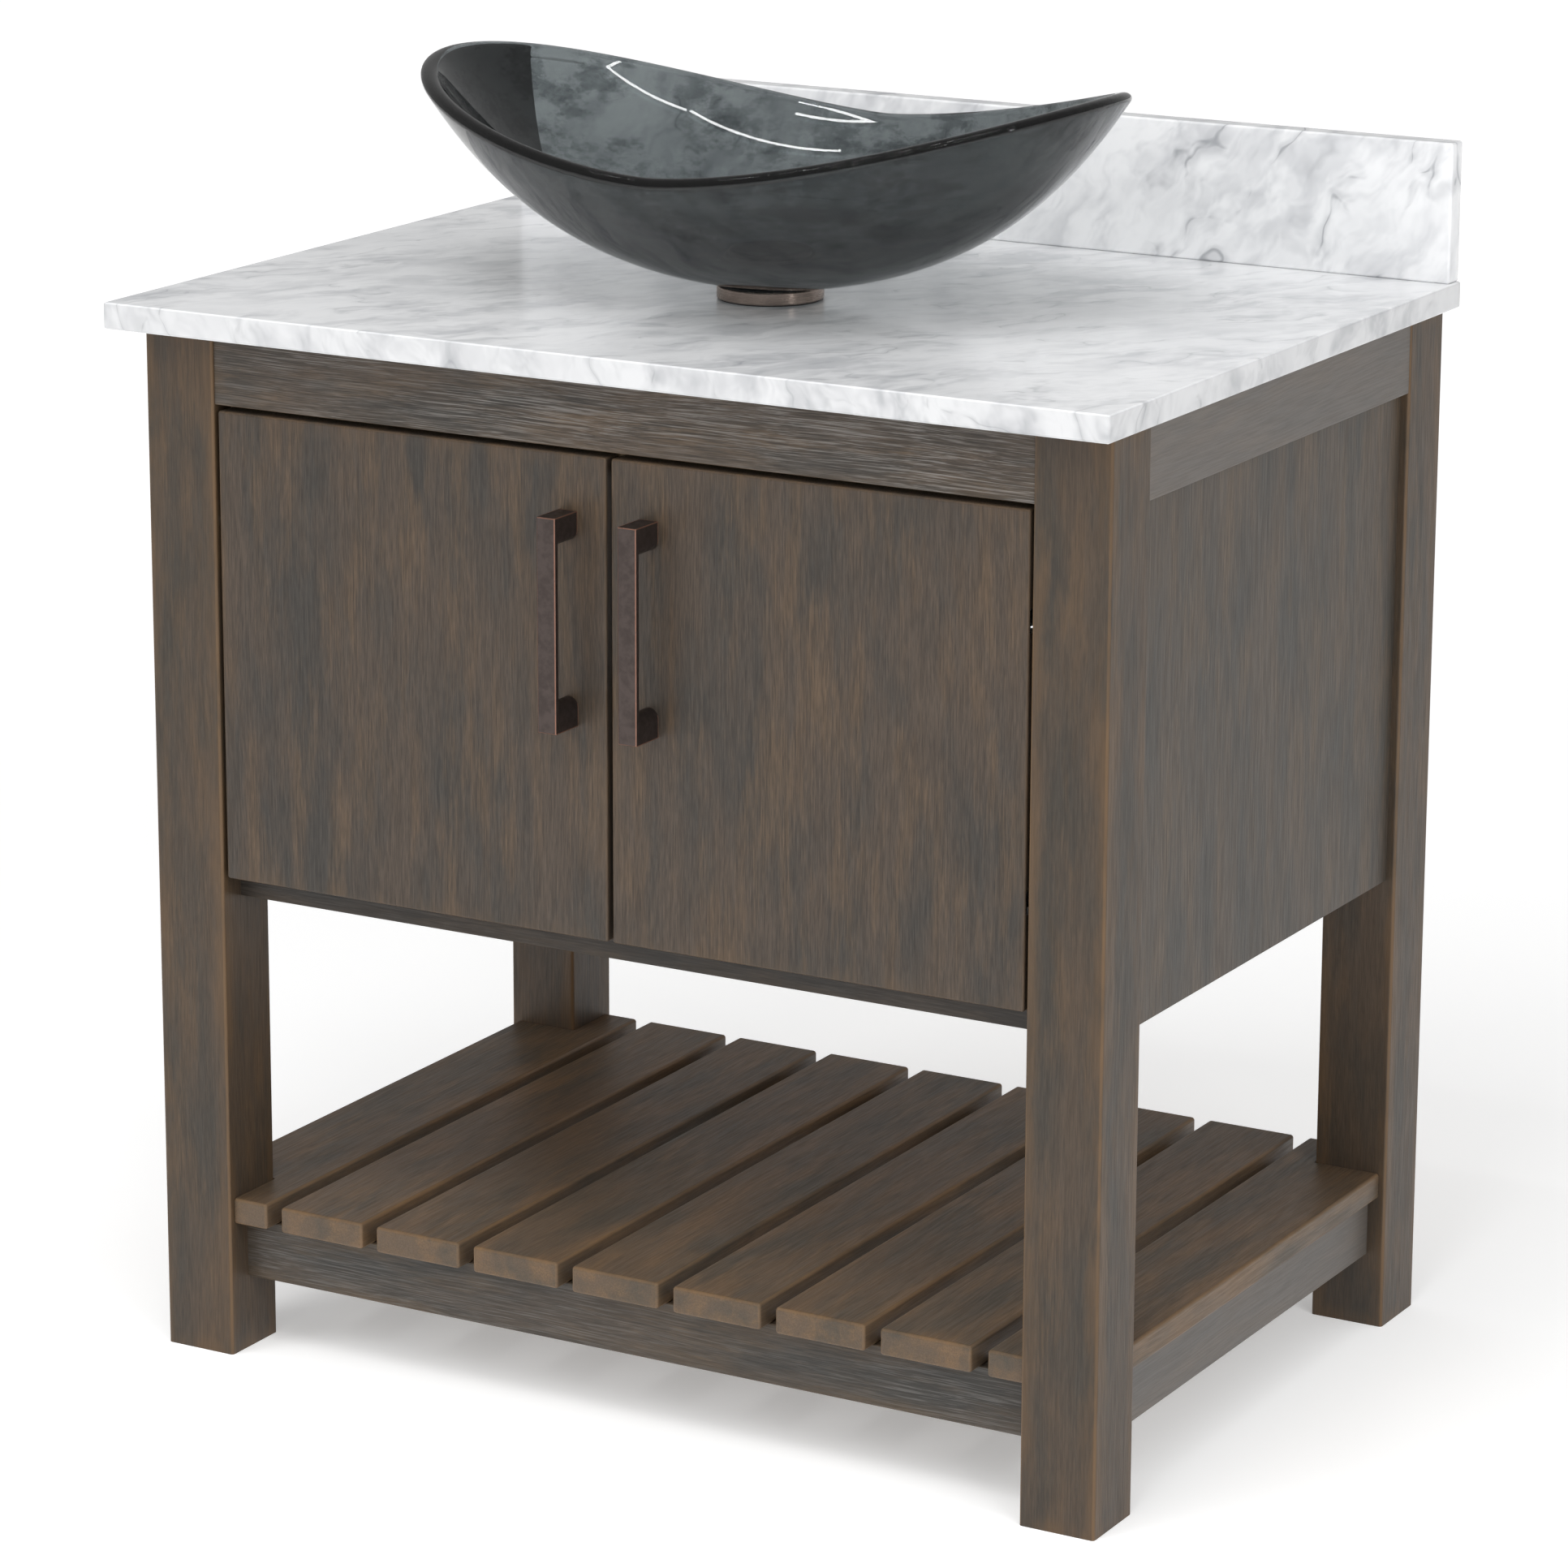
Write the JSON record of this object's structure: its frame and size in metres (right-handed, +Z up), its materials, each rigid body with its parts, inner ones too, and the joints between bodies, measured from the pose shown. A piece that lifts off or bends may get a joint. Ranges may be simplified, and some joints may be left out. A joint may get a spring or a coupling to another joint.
{
  "type": "vessel sink on vanity",
  "caption": "Smoky oval glass vessel sink on a marble top, over a stained wood vanity with hinged doors, bronze handles and an open slatted shelf.",
  "frame": {"origin": "on the floor, under the middle of the countertop", "axes": "+X along the countertop to the right, +Y towards the wall, +Z up"},
  "size_m": [0.7874, 0.5652, 0.9461],
  "materials": {
    "marble": "white marble with soft grey veins, polished",
    "smoky_glass": "clear smoky grey glass, fire polished",
    "oiled_bronze": "dark oil-rubbed bronze with copper showing at the edges, satin",
    "stained_wood": "grey-brown stained solid wood and veneer, satin lacquer",
    "inner_wood": "plain plywood and pine, matt",
    "hinge_steel": "nickel-plated steel",
    "rubber": "black rubber, matt",
    "clear_pad": "clear soft plastic"
  },
  "bodies": {
    "cabinet": {"back_left_leg": "stained_wood", "back_panel": "inner_wood", "back_right_leg": "stained_wood", "back_top_rail": "stained_wood", "backsplash": "marble", "bottom_back_rail": "stained_wood", "bottom_front_rail": "stained_wood", "bottom_panel": "inner_wood", "counter_seal": "rubber", "door_bumpers": "clear_pad", "drain_body": "oiled_bronze", "drain_flange_seal": "rubber", "drain_lock_nut": "oiled_bronze", "front_left_leg": "stained_wood", "front_right_leg": "stained_wood", "front_top_rail": "stained_wood", "glass_bowl": "smoky_glass", "hinge_plate_screws": "hinge_steel", "left_bottom_cleat": "inner_wood", "left_counter_cleat": "inner_wood", "left_hinge_arms": "hinge_steel", "left_shelf_rail": "stained_wood", "left_side_panel": "stained_wood", "left_top_rail": "stained_wood", "marble_top": "marble", "mounting_ring": "oiled_bronze", "mounting_ring_seals": "rubber", "right_bottom_cleat": "inner_wood", "right_counter_cleat": "inner_wood", "right_hinge_arms": "hinge_steel", "right_shelf_rail": "stained_wood", "right_side_panel": "stained_wood", "right_top_rail": "stained_wood", "shelf_back_rail": "stained_wood", "shelf_front_rail": "stained_wood", "slat_1": "stained_wood", "slat_2": "stained_wood", "slat_3": "stained_wood", "slat_4": "stained_wood", "slat_5": "stained_wood", "slat_6": "stained_wood", "slat_7": "stained_wood", "slat_8": "stained_wood", "slat_9": "stained_wood", "tailpiece": "oiled_bronze", "upper_door_stop": "inner_wood"},
    "left_door": {"left_door": "stained_wood", "left_handle": "oiled_bronze", "left_handle_screws": "hinge_steel", "left_hinge_cups": "hinge_steel", "left_hinge_pins": "hinge_steel", "left_hinge_cup_screws": "hinge_steel"},
    "right_door": {"right_door": "stained_wood", "right_handle": "oiled_bronze", "right_handle_screws": "hinge_steel", "right_hinge_cups": "hinge_steel", "right_hinge_pins": "hinge_steel", "right_hinge_cup_screws": "hinge_steel"},
    "drain_plug": {"drain_plug": "oiled_bronze"}
  },
  "joints": [
    {"name": "left_door_hinge", "type": "hinge", "parent": "cabinet", "child": "left_door", "pos_m": [-0.3152, -0.24333, 0.5344], "axis": [0, 0, -1], "range_deg": [0, 100]},
    {"name": "right_door_hinge", "type": "hinge", "parent": "cabinet", "child": "right_door", "pos_m": [0.3152, -0.24333, 0.5344], "axis": [0, 0, 1], "range_deg": [0, 100]},
    {"name": "drain_plug_lift", "type": "slide", "parent": "cabinet", "child": "drain_plug", "axis": [0, 0, 1], "range_m": [0, 0.009]}
  ]
}
